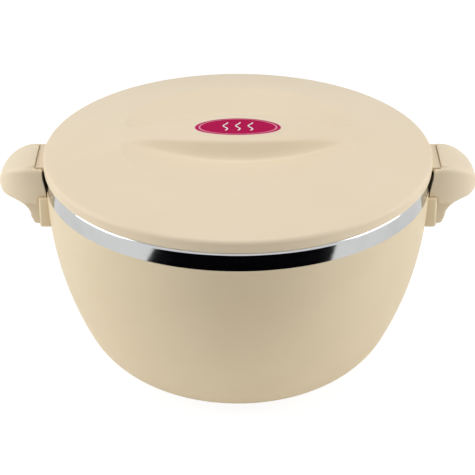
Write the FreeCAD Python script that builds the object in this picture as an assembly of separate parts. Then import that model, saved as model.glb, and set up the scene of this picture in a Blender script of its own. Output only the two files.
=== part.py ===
import FreeCAD, Part
import math
import os
from FreeCAD import Vector

# Insulated casserole: a foamed bowl with a steel lining and two side handles,
# and a foamed lift-off lid with a bridge grip and two ears.
# Millimetres. Z is up, the floor is Z = 0, the axis of the bowl is X = Y = 0
# and the handles lie on the X axis.

# Casing
rim_height = 136.0            # floor to the top of the steel rim
band_radius = 123.2           # outside of the steel band
band_height = 12.0            # height of the steel band
casing_step = 0.2             # casing stands this much proud of the band
side_radius = 230.0           # curve of the casing's side, upright under the band
knuckle_radius = 50.0         # curve from the side into the foot
foot_cut = 3.4                # depth by which the flat foot trims the knuckle curve
shell_wall = 2.2              # casing wall
foot_ring_width = 12.0        # ring that the casserole stands on
foot_ring_height = 1.5        # recess inside that ring
neck_taper = 3.0              # height over which the wall steps in under the band
foam_headroom = 5.6           # between the foam and the top of the rim

# Steel bowl
steel_thickness = 0.6
insulation_thickness = 7.6    # foam at the side wall
base_insulation = 12.0        # foam under the bowl
bowl_knuckle_radius = 38.0    # bowl floor to bowl side, inside
rim_corner_radius = 3.0       # bowl side to rim ledge
lip_radius = 2.0              # rim ledge to band

# Foam plugs
base_hole_radius = 7.0
base_plug_flange = 4.0        # overlap of the plug's head round its hole
base_plug_head = 1.1
lid_hole_radius = 4.0
lid_plug_flange = 2.2
lid_plug_head = 0.8

# Lid
lid_overhang = 1.8            # lid's edge beyond the steel band
lid_wall = 2.4
lid_lift_gap = 0.5            # shadow gap between the steel rim and the lid's edge
lid_edge_height = 9.0         # lid's edge, from its lower rim to the top of its rounding
lid_edge_radius = 4.5         # rounding between edge and dome
lid_edge_draft = 0.6
dome_radius = 488.0           # sphere of the lid's top
ledge_width = 4.6             # ring inside the edge that the liner is bonded to

# Finger scoops and the bridge grip between them
scoop_radius = 77.5
scoop_depth = 13.1            # below the crown, at the axis
scoop_corner_radius = 16.0
bridge_half_width = 20.8      # at the middle
bridge_bulge_radius = 157.0   # plan curve of each side of the bridge
bridge_wall_angle = 28.0      # degrees from upright

# Lid liner, gasket and badge
liner_thickness = 0.5
liner_drop = 5.0              # pan below the steel rim
liner_clearance = 1.5         # between the pan and the bowl
liner_corner_radius = 2.5
gasket_thickness = 1.2
gasket_width = 6.0
badge_half_length = 27.8
badge_half_width = 12.8
badge_thickness = 0.5
badge_recess = 0.4

# Handles
handle_root = 1.0             # start of the rounded plan shape, beyond the lid's edge
handle_reach = 28.2           # root to tip
handle_half_width = 20.5
handle_inner_gap = 1.0        # between the lid's edge and the handle, all along that edge
handle_lean = 13.0            # height over which the handle leaves the casing
handle_top = 5.0              # top of the handle above the steel rim
handle_crest = 5.0            # flat length of the top before it turns down
nose_drop = 18.3              # top to the foremost point of the nose
chin_length = 8.4             # nose back to the lowest line of the grip
chin_drop = 7.1
throat_drop = 10.0            # hollow for the fingers, between the grip and the foot
foot_height = 5.1             # foot below that hollow
foot_taper = 1.5              # step from the hollow to the foot's face
foot_round = 3.0              # outer corner of the foot's lower end
foot_half_width = 18.7
foot_thickness = 8.6          # foot, outward from the casing
handle_fillet = 4.3
handle_wall = 3.0
handle_rib = 2.2

# Notch in each handle, the ear that lies in it and the thumb pad beyond it
ear_half_width = 16.8
ear_reach = 4.0               # beyond the lid's edge
ear_thickness = 3.0
ear_drop = 1.2                # top of the ear below the thumb pad
ear_clearance = 0.3
shoulder_step = 2.0           # thumb pad above the handle's shoulders, at the casing
shoulder_run = 13.5           # from the lid's edge to where the step has faded out

# Rails that carry the handles
rail_thickness = 4.3
rail_top = 15.7               # below the steel rim
rail_reach = 3.9              # beyond the casing
rail_round = 1.8              # outer edges
rib_offset = 1.3              # from the casing to the rib
rib_thickness = 1.8
rib_reach = 1.1
rib_drop = 3.0                # top of the rib below the top of the rail: the foot hangs on it
barb_width = 10.0
barb_height = 3.0
barb_reach = 0.9
barb_lift = 3.5               # above the lower end of the foot

# Clearances
seat_gap = 0.1                # between pieces that are assembled for good
slide_gap = 0.3               # between a handle and its rails
lid_gap = 0.3                 # between lid and base where the lid rests

# Heights and radii that follow from the sizes above
band_bottom = rim_height - band_height
casing_radius = band_radius + casing_step
knuckle_height = knuckle_radius - foot_cut
shell_floor = foot_ring_height + shell_wall
bowl_floor = shell_floor + base_insulation + steel_thickness
wall_stack = shell_wall + insulation_thickness + steel_thickness
bowl_radius = casing_radius - wall_stack
side_centre = casing_radius - side_radius
neck_radius = band_radius - steel_thickness - seat_gap
lid_radius = band_radius + lid_overhang
lid_bottom = rim_height + lid_lift_gap
edge_centre = lid_radius - lid_edge_radius
edge_height = lid_bottom + lid_edge_height - lid_edge_radius
dome_fall = dome_radius - math.sqrt((dome_radius - lid_edge_radius) ** 2 - edge_centre ** 2)
crown_height = edge_height + dome_fall
scoop_floor = crown_height - scoop_depth
flange_bottom = rim_height + lid_gap + gasket_thickness
flange_top = flange_bottom + liner_thickness
pocket_radius = lid_radius - lid_wall
ledge_radius = pocket_radius - ledge_width
liner_radius = bowl_radius - liner_clearance
grip_top = rim_height + handle_top
grip_root = lid_radius + handle_root
grip_tip = grip_root + handle_reach
grip_crest = grip_root + handle_crest
nose_reach = grip_tip - grip_crest
nose_top = grip_top - nose_drop
belly = nose_top - chin_drop
throat_low = belly - throat_drop
foot_bottom = throat_low - foot_height
foot_face = casing_radius + foot_thickness
rail_head = rim_height - rail_top
rib_head = rail_head - rib_drop
rib_start = casing_radius + rib_offset
ear_top = grip_top - ear_drop
ear_bottom = ear_top - ear_thickness
notch_floor = ear_bottom - ear_clearance
wide = 2 * (lid_radius + handle_reach)
above = crown_height + scoop_depth

AXIS = Vector(0, 0, 1)
ORIGIN = Vector(0, 0, 0)

os.makedirs("parts", exist_ok=True)


def at(radius, height):
    return Vector(radius, 0, height)


def line(start, end):
    return Part.makeLine(start, end)


def polyline(points):
    """Lines from point to point, leaving out any of no length."""
    return [line(a, b) for a, b in zip(points, points[1:]) if not a.isEqual(b, 1e-6)]


def arc(centre, radius, start, end):
    """Arc in the XZ plane, angles in degrees from +X towards +Z."""
    def point(angle):
        turn = math.radians(angle)
        return centre + at(radius * math.cos(turn), radius * math.sin(turn))
    return Part.Arc(point(start), point((start + end) / 2), point(end)).toShape()


def turned(edges):
    """Solid of revolution about Z from closed XZ edges."""
    wire = Part.Wire(Part.__sortEdges__(edges))
    return Part.Face(wire).revolve(ORIGIN, AXIS, 360)


def box(x, y, z):
    """Box from pairs of limits."""
    corner = Vector(x[0], y[0], z[0])
    return Part.makeBox(x[1] - x[0], y[1] - y[0], z[1] - z[0], corner)


def cylinder(radius, bottom, top):
    return Part.makeCylinder(radius, top - bottom, at(0, bottom))


def both_sides(shape):
    """The shape and its mirror image across the XZ plane."""
    return shape.fuse(shape.mirror(ORIGIN, Vector(0, 1, 0)))


def opposite(shape):
    """The shape turned half round to the other handle."""
    copy = shape.copy()
    copy.rotate(ORIGIN, AXIS, 180)
    return copy


def export(name, shape):
    solid = shape.removeSplitter()
    if len(solid.Solids) != 1 or not solid.isValid():
        raise ValueError(name + " is not one valid solid")
    solid.Solids[0].exportStep("parts/" + name + ".step")
    print(name, round(solid.Volume / 1000, 2), "cm3")


def cup_edges(side, knuckle, knuckle_centre, floor):
    """Wall of a cup from its floor to the height where its side is upright."""
    rise = band_bottom - knuckle_centre
    slope = math.degrees(math.asin(rise / (side - knuckle)))
    knuckle_x = side_centre + math.sqrt((side - knuckle) ** 2 - rise ** 2)
    drop = round((knuckle_centre - floor) / knuckle, 9)
    start = -math.degrees(math.asin(drop))
    lower = arc(at(knuckle_x, knuckle_centre), knuckle, start, -slope)
    upper = arc(at(side_centre, band_bottom), side, -slope, 0)
    return [line(at(0, floor), lower.Vertexes[0].Point), lower, upper]


def cup(side, knuckle, knuckle_centre, floor, top):
    """Solid inside such a wall, closed at the given top."""
    radius = side_centre + side
    edges = cup_edges(side, knuckle, knuckle_centre, floor)
    edges += polyline([at(radius, band_bottom), at(radius, top), at(0, top), at(0, floor)])
    return turned(edges)


def casing_form(inset, floor, top):
    return cup(side_radius - inset, knuckle_radius - inset, knuckle_height, floor, top)


def bowl_form(outset, top):
    """Outside of the steel bowl, grown by the given amount."""
    side = side_radius - wall_stack + outset
    knuckle = bowl_knuckle_radius + outset
    return cup(side, knuckle, bowl_floor + bowl_knuckle_radius, bowl_floor - outset, top)


def casing_neck():
    """Upright collar that stands inside the steel band and carries the rim."""
    head = rim_height - steel_thickness - seat_gap
    slant = lip_radius - steel_thickness
    inner = neck_radius - shell_wall
    points = [at(inner, band_bottom), at(neck_radius, band_bottom)]
    points += [at(neck_radius, head - slant), at(neck_radius - slant, head)]
    points += [at(inner, head), at(inner, band_bottom)]
    return turned(polyline(points))


def casing_hollow():
    """Room for the foam inside the casing, below the neck."""
    inner = neck_radius - shell_wall
    room = casing_form(shell_wall, shell_floor, band_bottom)
    collar = [at(inner, band_bottom), at(casing_radius, band_bottom)]
    collar += [at(casing_radius, band_bottom - neck_taper), at(inner, band_bottom)]
    return room.cut(turned(polyline(collar)))


def rail():
    """One upright rail beside a handle's foot, with the rib that the foot grips."""
    inner_face = foot_half_width + slide_gap
    outer_face = inner_face + rail_thickness
    reach = casing_radius + rail_reach
    post = box((bowl_radius, reach), (inner_face, outer_face), (foot_bottom, rail_head))
    outer = [e for e in post.Edges if e.BoundBox.XMin > reach - rail_round]
    upright = [e for e in outer if e.BoundBox.YMin > outer_face - rail_round]
    lowest = [e for e in outer if e.BoundBox.ZMax < foot_bottom + rail_round]
    corners = [e for e in upright if e.BoundBox.ZLength > rail_round] + lowest
    post = post.makeFillet(rail_round, corners)
    rib = box((rib_start, rib_start + rib_thickness), (inner_face - rib_reach, inner_face),
              (foot_bottom, rib_head))
    return post.fuse(rib)


def barb(gap):
    """Snap barb that keeps a handle from sliding up; the gap makes its pocket."""
    low = foot_bottom + barb_lift - gap
    high = foot_bottom + barb_lift + barb_height + gap
    half = barb_width / 2 + gap
    reach = casing_radius + barb_reach + gap
    return box((bowl_radius, reach), (-half, half), (low, high))


def outer_shell():
    body = casing_form(0, 0, band_bottom).fuse(casing_neck())
    fixings = both_sides(rail()).fuse(barb(0))
    body = body.fuse(fixings).fuse(opposite(fixings))
    body = body.cut(casing_hollow())
    body = body.cut(cylinder(neck_radius - shell_wall, band_bottom - neck_taper, rim_height))
    lower_edge = [e for e in body.Edges if e.BoundBox.ZMax < foot_ring_height / 2]
    foot_radius = max(e.BoundBox.XMax for e in lower_edge)
    body = body.cut(cylinder(foot_radius - foot_ring_width, -foot_ring_height, foot_ring_height))
    return body.cut(cylinder(base_hole_radius, 0, shell_floor))


def inner_bowl():
    """Pressed steel: bowl, rim ledge, rounded lip and turned-down band in one sheet."""
    side = side_radius - wall_stack
    edges = cup_edges(side, bowl_knuckle_radius, bowl_floor + bowl_knuckle_radius, bowl_floor)
    corner = at(bowl_radius + rim_corner_radius, rim_height - rim_corner_radius)
    lip = at(band_radius - lip_radius, rim_height - lip_radius)
    edges.append(line(at(bowl_radius, band_bottom), at(bowl_radius, corner.z)))
    edges.append(arc(corner, rim_corner_radius, 180, 90))
    edges.append(line(at(corner.x, rim_height), at(lip.x, rim_height)))
    edges.append(arc(lip, lip_radius, 90, 0))
    edges.append(line(at(band_radius, lip.z), at(band_radius, band_bottom)))
    section = Part.Wire(edges).makeOffset2D(-steel_thickness, 0, True, True)
    return section.revolve(ORIGIN, AXIS, 360)


def base_insulation_foam():
    inner = neck_radius - shell_wall - seat_gap
    top = rim_height - foam_headroom
    foam = casing_form(shell_wall + seat_gap, shell_floor + seat_gap, band_bottom)
    foam = foam.cut(cylinder(wide, band_bottom - neck_taper, above))
    foam = foam.fuse(cylinder(inner, band_bottom - neck_taper, top))
    return foam.cut(bowl_form(steel_thickness + seat_gap, above))


def base_fill_plug():
    flange = base_hole_radius + base_plug_flange
    head = cylinder(flange, foot_ring_height - base_plug_head, foot_ring_height)
    return head.fuse(cylinder(base_hole_radius - seat_gap, foot_ring_height, shell_floor))


def quarter(centre, reach, rise, start):
    """Quarter of an upright ellipse in the XZ plane, on from a quadrant in degrees."""
    ellipse = Part.Ellipse(ORIGIN, max(reach, rise), min(reach, rise))
    if rise > reach:
        ellipse.rotate(FreeCAD.Placement(ORIGIN, AXIS, 90))
        start -= 90
    turn = math.radians(start)
    edge = ellipse.toShape(turn, turn + math.pi / 2)
    edge.rotate(ORIGIN, Vector(1, 0, 0), 90)
    edge.translate(centre)
    return edge


def plan_prism(inset):
    """Upright prism with the handle's rounded plan shape."""
    half = handle_half_width - inset
    tip = Part.Ellipse(at(grip_root, 0), handle_reach - inset, half)
    edges = [tip.toShape(-math.pi / 2, math.pi / 2)]
    edges += polyline([Vector(grip_root, half, 0), Vector(0, half, 0), Vector(0, -half, 0),
                       Vector(grip_root, -half, 0)])
    return Part.Face(Part.Wire(Part.__sortEdges__(edges))).extrude(Vector(0, 0, above))


def lobe():
    """Rounded form of a handle, before anything is cut from it."""
    chin = grip_tip - chin_length
    throat_end = at(foot_face + foot_taper, throat_low)
    heel = at(foot_face - foot_round, foot_bottom + foot_round)
    edges = [quarter(at(grip_crest, nose_top), nose_reach, nose_drop, 0)]
    edges += [quarter(at(chin, nose_top), chin_length, chin_drop, -90)]
    edges += [quarter(at(chin, throat_low), chin - throat_end.x, throat_drop, 90)]
    edges += [line(throat_end, at(foot_face, heel.z)), arc(heel, foot_round, 0, -90)]
    edges += polyline([at(heel.x, foot_bottom), at(bowl_radius, foot_bottom),
                       at(bowl_radius, grip_top), at(grip_crest, grip_top)])
    slab = Part.Face(Part.Wire(Part.__sortEdges__(edges))).extrude(Vector(0, 2 * handle_half_width, 0))
    slab.translate(Vector(0, -handle_half_width, 0))
    form = slab.common(plan_prism(0)).removeSplitter().Solids[0]
    outline = [e for e in form.Edges if abs(e.BoundBox.Center.y) > handle_fillet]
    outline = [e for e in outline if e.BoundBox.XLength > foot_taper]
    return form.makeFillet(handle_fillet, [e for e in outline if e.BoundBox.Center.z > throat_low])


def shoulder_wedge(side_limits):
    """Thin wedge that lowers a handle's shoulder beside the thumb pad, down to nothing at its end."""
    start = casing_radius
    end = lid_radius + shoulder_run
    fade = nose_top + nose_drop * math.sqrt(1 - ((end - grip_crest) / nose_reach) ** 2)
    corners = [at(start, grip_top + shoulder_step), at(end, grip_top + shoulder_step)]
    corners += [at(end, fade), at(start, grip_top - shoulder_step), corners[0]]
    face = Part.Face(Part.Wire(polyline(corners)))
    wedge = face.extrude(Vector(0, side_limits[1] - side_limits[0], 0))
    wedge.translate(Vector(0, side_limits[0], 0))
    return wedge


def handle_hollow():
    """Moulding core under the grip, open towards the fingers, with one web left in it."""
    roof = grip_top - handle_wall
    tip = grip_tip - handle_wall
    edges = [quarter(at(grip_crest, nose_top), nose_reach - handle_wall, roof - nose_top, 0)]
    edges += polyline([at(tip, nose_top), at(tip, foot_bottom), at(grip_crest, foot_bottom),
                       at(grip_crest, roof)])
    room = Part.Face(Part.Wire(Part.__sortEdges__(edges))).extrude(Vector(0, wide, 0))
    room.translate(Vector(0, -wide / 2, 0))
    room = room.common(plan_prism(handle_wall))
    room = room.cut(box((0, foot_face + handle_wall), (-wide, wide), (0, above)))
    return room.cut(box((0, wide), (-handle_rib / 2, handle_rib / 2), (0, above)))


def handle():
    """Handle at +X: its rounded form less the ear's notch, the rails and its hollow."""
    inner_wall = lid_radius + handle_inner_gap
    notch = ear_half_width + ear_clearance
    notch_end = lid_radius + ear_reach + ear_clearance
    rail_room = casing_radius + rail_reach + slide_gap
    groove = (rib_start - slide_gap, rib_start + rib_thickness + slide_gap)
    groove_depth = foot_half_width - rib_reach
    lean = Part.makeCone(casing_radius + slide_gap, inner_wall, handle_lean, at(0, rail_head))
    piece = lobe().cut(casing_form(-slide_gap, 0, above))
    piece = piece.cut(lean).cut(cylinder(inner_wall, rail_head + handle_lean, above))
    piece = piece.cut(box((0, notch_end), (-notch, notch), (notch_floor, above)))
    cuts = [box((0, wide), (foot_half_width, wide), (0, belly))]
    cuts += [box((0, rail_room), (foot_half_width, wide), (0, rail_head))]
    cuts += [box(groove, (groove_depth, wide), (0, rib_head))]
    cuts += [shoulder_wedge((ear_half_width, wide))]
    for cutter in cuts:
        piece = piece.cut(both_sides(cutter))
    return piece.cut(handle_hollow()).cut(barb(slide_gap))


def ear():
    """Ear at +X: a short flange on the lid's edge that lies in the handle's notch."""
    width = (-ear_half_width, ear_half_width)
    return box((edge_centre, lid_radius + ear_reach), width, (ear_bottom, ear_top))


def dome_arc(inset, radius):
    """Arc of the dome, or of its underside, from the crown out to a radius."""
    ball = dome_radius - inset
    edge = math.degrees(math.acos(radius / ball))
    return arc(at(0, crown_height - dome_radius), ball, 90, edge)


def scoop_plan(grow):
    """Upright prism with the plan shape of the front scoop, its corners rounded."""
    height = above - rim_height
    middle = Vector(0, bridge_bulge_radius - bridge_half_width, rim_height)
    bulge = Part.makeCylinder(bridge_bulge_radius - grow, height, middle)
    disc = cylinder(scoop_radius + grow, rim_height, above)
    disc.rotate(ORIGIN, AXIS, 90)
    prism = disc.cut(bulge)
    corners = [e for e in prism.Edges if e.BoundBox.XLength + e.BoundBox.YLength < scoop_depth]
    return prism.makeFillet(scoop_corner_radius + grow, corners)


def scoops(grow):
    """Both finger scoops; growing them gives the underside of the moulding."""
    ball_rise = dome_arc(0, scoop_radius).Vertexes[1].Point.z - scoop_floor
    ball = (scoop_radius ** 2 + ball_rise ** 2) / (2 * ball_rise)
    centre = at(0, scoop_floor + ball)
    reach = math.degrees(math.asin(lid_radius / (ball + grow)))
    dish = arc(centre, ball + grow, -90, reach - 90)
    rim = dish.Vertexes[1].Point
    edges = [dish] + polyline([rim, at(rim.x, above), at(0, above), at(0, scoop_floor - grow)])
    dish_room = turned(edges)
    lean = math.tan(math.radians(bridge_wall_angle))
    side = grow / math.cos(math.radians(bridge_wall_angle))
    low = bridge_bulge_radius - side + (crown_height - flange_top) * lean
    high = bridge_bulge_radius - side + (crown_height - above) * lean
    middle = bridge_bulge_radius - bridge_half_width
    cone = Part.makeCone(low, high, above - flange_top, Vector(0, middle, flange_top))
    return both_sides(dish_room.cut(cone).common(scoop_plan(grow)))


def lid_outside():
    lower = lid_radius - lid_edge_draft
    slope = math.degrees(math.acos(edge_centre / (dome_radius - lid_edge_radius)))
    dome_end = dome_radius * edge_centre / (dome_radius - lid_edge_radius)
    edges = [dome_arc(0, dome_end), arc(at(edge_centre, edge_height), lid_edge_radius, slope, 0)]
    edges += polyline([at(lid_radius, edge_height), at(lower, lid_bottom), at(0, lid_bottom),
                       at(0, crown_height)])
    return turned(edges)


def lid_inside(gap):
    """Room inside the lid above the liner, less the undersides of the scoops."""
    radius = ledge_radius - gap
    top = dome_arc(lid_wall + gap, radius)
    corner = top.Vertexes[1].Point
    edges = [top] + polyline([corner, at(radius, flange_top), at(0, flange_top),
                              at(0, crown_height - lid_wall - gap)])
    return turned(edges).cut(scoops(lid_wall + gap))


def badge_plate(bottom, top, grow):
    """Oval plate that follows the dome between two heights measured from its surface."""
    oval = Part.Ellipse(ORIGIN, badge_half_length + grow, badge_half_width + grow)
    prism = Part.Face(Part.Wire(oval.toShape())).extrude(Vector(0, 0, above))
    centre = at(0, crown_height - dome_radius)
    return prism.common(Part.makeSphere(dome_radius + top, centre)).cut(
        Part.makeSphere(dome_radius + bottom, centre))


def lid_cover():
    ear_piece = ear()
    cover = lid_outside().fuse(ear_piece).fuse(opposite(ear_piece))
    cover = cover.cut(scoops(0)).cut(lid_inside(0))
    cover = cover.cut(cylinder(pocket_radius, 0, flange_top))
    cover = cover.cut(badge_plate(-badge_recess, above, seat_gap))
    head_room = crown_height - badge_recess - lid_plug_head - seat_gap
    cover = cover.cut(cylinder(lid_hole_radius + lid_plug_flange + seat_gap, head_room, above))
    return cover.cut(cylinder(lid_hole_radius, head_room - lid_wall, above))


def lid_fill_plug():
    seat = crown_height - badge_recess - lid_plug_head - seat_gap
    head = cylinder(lid_hole_radius + lid_plug_flange, seat, seat + lid_plug_head)
    return head.fuse(cylinder(lid_hole_radius - seat_gap, crown_height - lid_wall, seat))


def liner_path():
    """Underside of the pan, from the axis to the outer edge of its flange."""
    pan = rim_height - liner_drop
    low = at(liner_radius - liner_corner_radius, pan + liner_corner_radius)
    flange = pocket_radius - seat_gap
    edges = [line(at(0, pan), at(low.x, pan)), arc(low, liner_corner_radius, -90, 0)]
    edges += polyline([at(liner_radius, low.z), at(liner_radius, flange_bottom)])
    edges += polyline([at(liner_radius, flange_bottom), at(flange, flange_bottom)])
    return edges


def lid_liner():
    section = Part.Wire(liner_path()).makeOffset2D(liner_thickness, 2, True, True)
    return section.revolve(ORIGIN, AXIS, 360)


def lid_insulation():
    pan_floor = rim_height - liner_drop + liner_thickness + seat_gap
    pan = cylinder(liner_radius - liner_corner_radius - liner_thickness, pan_floor, flange_top + seat_gap)
    body = lid_inside(seat_gap).cut(cylinder(wide, 0, flange_top + seat_gap))
    return body.fuse(pan).cut(cylinder(lid_hole_radius, crown_height - lid_wall - seat_gap, above))


def lid_gasket():
    inner = liner_radius + seat_gap
    outer = inner + gasket_width
    return cylinder(outer, flange_bottom - gasket_thickness, flange_bottom).cut(cylinder(inner, 0, above))


right = handle()

export("outer_shell", outer_shell())
export("inner_bowl", inner_bowl())
export("base_insulation", base_insulation_foam())
export("base_fill_plug", base_fill_plug())
export("right_handle", right)
export("left_handle", opposite(right))
export("lid_cover", lid_cover())
export("lid_liner", lid_liner())
export("lid_insulation", lid_insulation())
export("lid_gasket", lid_gasket())
export("lid_fill_plug", lid_fill_plug())
export("lid_badge", badge_plate(-badge_recess, badge_thickness - badge_recess, 0))
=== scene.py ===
# %% [markdown]
# # Insulated casserole
#
# A foam-filled casserole that keeps flat breads warm: a moulded cream casing with a polished
# steel bowl, two side handles, and a domed lid with a bridge grip between two finger scoops.
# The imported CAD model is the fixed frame. It gives every size and place, and each piece made
# here sits where its CAD node sits. Lengths in this script are millimetres until they are
# made into a mesh, because Blender counts in metres.

# %% Load the frame
import math

import bmesh
import bpy
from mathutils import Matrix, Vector


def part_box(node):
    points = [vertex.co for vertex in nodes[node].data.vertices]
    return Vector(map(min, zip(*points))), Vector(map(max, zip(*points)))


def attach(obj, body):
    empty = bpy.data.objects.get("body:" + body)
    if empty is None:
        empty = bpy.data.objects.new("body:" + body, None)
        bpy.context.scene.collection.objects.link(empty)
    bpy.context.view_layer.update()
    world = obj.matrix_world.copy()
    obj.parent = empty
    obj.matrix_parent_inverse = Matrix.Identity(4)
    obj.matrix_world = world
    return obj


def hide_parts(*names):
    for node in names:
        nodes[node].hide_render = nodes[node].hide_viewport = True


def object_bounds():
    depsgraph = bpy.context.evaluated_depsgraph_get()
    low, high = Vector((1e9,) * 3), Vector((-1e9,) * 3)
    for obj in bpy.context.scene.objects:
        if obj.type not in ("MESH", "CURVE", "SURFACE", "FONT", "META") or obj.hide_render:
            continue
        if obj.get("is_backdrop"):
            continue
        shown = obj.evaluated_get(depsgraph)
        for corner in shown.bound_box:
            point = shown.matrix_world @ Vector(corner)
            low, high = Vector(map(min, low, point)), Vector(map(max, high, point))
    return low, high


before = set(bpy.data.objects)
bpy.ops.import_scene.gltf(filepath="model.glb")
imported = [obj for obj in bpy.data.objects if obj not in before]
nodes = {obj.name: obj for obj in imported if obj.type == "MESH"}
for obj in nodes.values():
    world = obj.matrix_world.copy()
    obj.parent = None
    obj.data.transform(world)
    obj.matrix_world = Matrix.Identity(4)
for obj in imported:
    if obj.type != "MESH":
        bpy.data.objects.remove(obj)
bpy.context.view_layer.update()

MM = 0.001

# %% [markdown]
# ## Sizes read from the frame
#
# The casserole is turned round its upright axis, so a radius is half the width of a node's
# box. The handles lie on the X axis, and the lid's ears reach along X too, so every radius is
# read along Y.

# %% Read the main sizes
def top_of(node):
    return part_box(node)[1].z / MM


def bottom_of(node):
    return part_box(node)[0].z / MM


def radius_of(node):
    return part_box(node)[1].y / MM


rim_height = top_of("inner_bowl")
band_radius = radius_of("inner_bowl")
casing_radius = radius_of("outer_shell")
lid_radius = radius_of("lid_cover")
lid_bottom = bottom_of("lid_cover")
badge_top = top_of("lid_badge")
handle_top = top_of("right_handle")
handle_bottom = bottom_of("right_handle")
print("rim", round(rim_height, 1), "band", round(band_radius, 1), "lid", round(lid_radius, 1))

# %% [markdown]
# ## Helpers for curves in a section
#
# A turned piece is drawn as half of its section: a row of points, each a radius and a height.
# A bend is an arc. A run is a straight stretch with one extra point close to each end, so that
# smooth shading stays flat along the stretch and turns only in the bends.

# %% Draw bends and runs
SUPPORT = 0.3
SUPPORT_SHARE = 0.3


def bend(centre, radius, start, end, steps=8):
    """Points of an arc, angles in degrees from outwards towards up."""
    turns = [math.radians(start + (end - start) * i / steps) for i in range(steps + 1)]
    return [(centre[0] + radius * math.cos(t), centre[1] + radius * math.sin(t)) for t in turns]


def run(start, end):
    """A straight stretch with a support point near each end."""
    share = min(SUPPORT / math.dist(start, end), SUPPORT_SHARE)
    shares = (0, share, 1 - share, 1)
    return [tuple(a + (b - a) * s for a, b in zip(start, end)) for s in shares]


print("a bend has", len(bend((0, 0), 1, 0, 90)), "points and a run", len(run((0, 0), (1, 0))))

# %% [markdown]
# A mesh shows only once an object holds it and the scene holds the object. Every object stays
# at the origin, and its place is in its mesh, as it is for the CAD nodes.

# %% Make objects
SAME_POINT = 1e-4


def new_piece(name, mesh):
    """An object for a mesh, a lamp or a camera, put in the scene at the origin."""
    piece = bpy.data.objects.new(name, mesh)
    bpy.context.scene.collection.objects.link(piece)
    return piece


def piece_from(name, shape):
    """A piece from a finished bmesh."""
    mesh = bpy.data.meshes.new(name)
    shape.to_mesh(mesh)
    shape.free()
    return new_piece(name, mesh)


def section_object(name, stretches):
    """An open line of edges through the points, standing in the XZ plane."""
    points = []
    for point in (p for stretch in stretches for p in stretch):
        if not points or math.dist(points[-1], point) > SAME_POINT:
            points.append(point)
    mesh = bpy.data.meshes.new(name)
    edges = [(i, i + 1) for i in range(len(points) - 1)]
    mesh.from_pydata([(r * MM, 0, z * MM) for r, z in points], edges, [])
    return new_piece(name, mesh)


def shade(piece, corner=38):
    """Smooth shading everywhere except across corners sharper than the given angle."""
    piece.data.polygons.foreach_set("use_smooth", [True] * len(piece.data.polygons))
    piece.data.set_sharp_from_angle(angle=math.radians(corner))
    piece.data.update()
    return piece


# %% [markdown]
# ## Node trees that make geometry
#
# Geometry Nodes describe a rule once and let it grow: how a section is turned round an axis,
# how a scoop is pressed into a dome, how a rail is repeated. A small function adds one node,
# and another runs a finished tree on a piece and keeps the result as a plain mesh.

# %% Add nodes and grow pieces
def add(tree, kind, links=None, **settings):
    """Add one node. Settings go by property name, links and values by input name or number."""
    node = tree.nodes.new(kind)
    for name, value in settings.items():
        setattr(node, name, value)
    for key, value in (links or {}).items():
        if isinstance(value, bpy.types.Node):
            value = value.outputs[0]
        if isinstance(value, bpy.types.NodeSocket):
            tree.links.new(value, node.inputs[key])
        else:
            node.inputs[key].default_value = value
    return node


def geometry_tree(name, sizes):
    """An empty tree with a geometry input and one named input for each size."""
    tree = bpy.data.node_groups.new(name, "GeometryNodeTree")
    tree.interface.new_socket("Geometry", in_out="INPUT", socket_type="NodeSocketGeometry")
    for label, kind in sizes.items():
        tree.interface.new_socket(label, in_out="INPUT", socket_type="NodeSocket" + kind)
    tree.interface.new_socket("Geometry", in_out="OUTPUT", socket_type="NodeSocketGeometry")
    return tree, tree.nodes.new("NodeGroupInput")


def close_tree(tree, geometry, source):
    """Every tree ends by realising its instances and setting the material."""
    real = add(tree, "GeometryNodeRealizeInstances", {0: geometry})
    painted = add(tree, "GeometryNodeSetMaterial", {0: real, "Material": source.outputs["Material"]})
    add(tree, "NodeGroupOutput", {0: painted})
    print("tree", tree.name, "has", len(tree.nodes), "nodes")
    return tree


def grow(base, tree, values):
    """Run a tree on a piece and keep the result as the piece's own plain mesh."""
    modifier = base.modifiers.new("rule", "NODES")
    modifier.node_group = tree
    for item in tree.interface.items_tree:
        if item.in_out == "INPUT" and item.name in values:
            modifier[item.identifier] = values[item.name]
    evaluated = base.evaluated_get(bpy.context.evaluated_depsgraph_get())
    mesh = bpy.data.meshes.new_from_object(evaluated)
    base.modifiers.remove(modifier)
    base.data = mesh
    if mesh.materials[0] is None:
        mesh.materials.pop(index=0)
        mesh.polygons.foreach_set("material_index", [0] * len(mesh.polygons))
    print(base.name, len(mesh.polygons), "faces")
    return base


# %% [markdown]
# ## Colour and material helpers
#
# Colours are written as the usual six-digit sRGB codes. Shaders work in linear light, so one
# function turns a code into linear numbers, by the curve that the sRGB standard gives.

# %% Set up materials
SHARE = 0
COLOUR_A = 6
COLOUR_B = 7
COLOUR_OUT = 2


def linear(code):
    """sRGB hex code to a linear RGBA colour."""
    shares = [int(code[i:i + 2], 16) / 255 for i in (1, 3, 5)]
    return (*[s / 12.92 if s <= 0.04045 else ((s + 0.055) / 1.055) ** 2.4 for s in shares], 1)


def material(name, **values):
    """A new material with a Principled shader and its plain values."""
    made = bpy.data.materials.new(name)
    made.use_nodes = True
    shader = made.node_tree.nodes["Principled BSDF"]
    for key, value in values.items():
        shader.inputs[key.replace("_", " ")].default_value = value
    return made, made.node_tree, shader


print("the mid grey #808080 is", round(linear("#808080")[0], 3), "in linear light")

# %% [markdown]
# ## Moulded polypropylene
#
# Casing, handles and lid are injection-moulded polypropylene, a waxy plastic with a fine matt
# grain from the spark-eroded mould. The eye sees a soft, wide highlight, a colour that is even
# but never perfectly so, and a faint unevenness where the wall shrank as it cooled. The grain is
# really about 0.1 mm, too fine to show, so it is drawn at 0.6 mm. The fill plugs are
# polyethylene from the same kind of mould, so they share the recipe.

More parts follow.
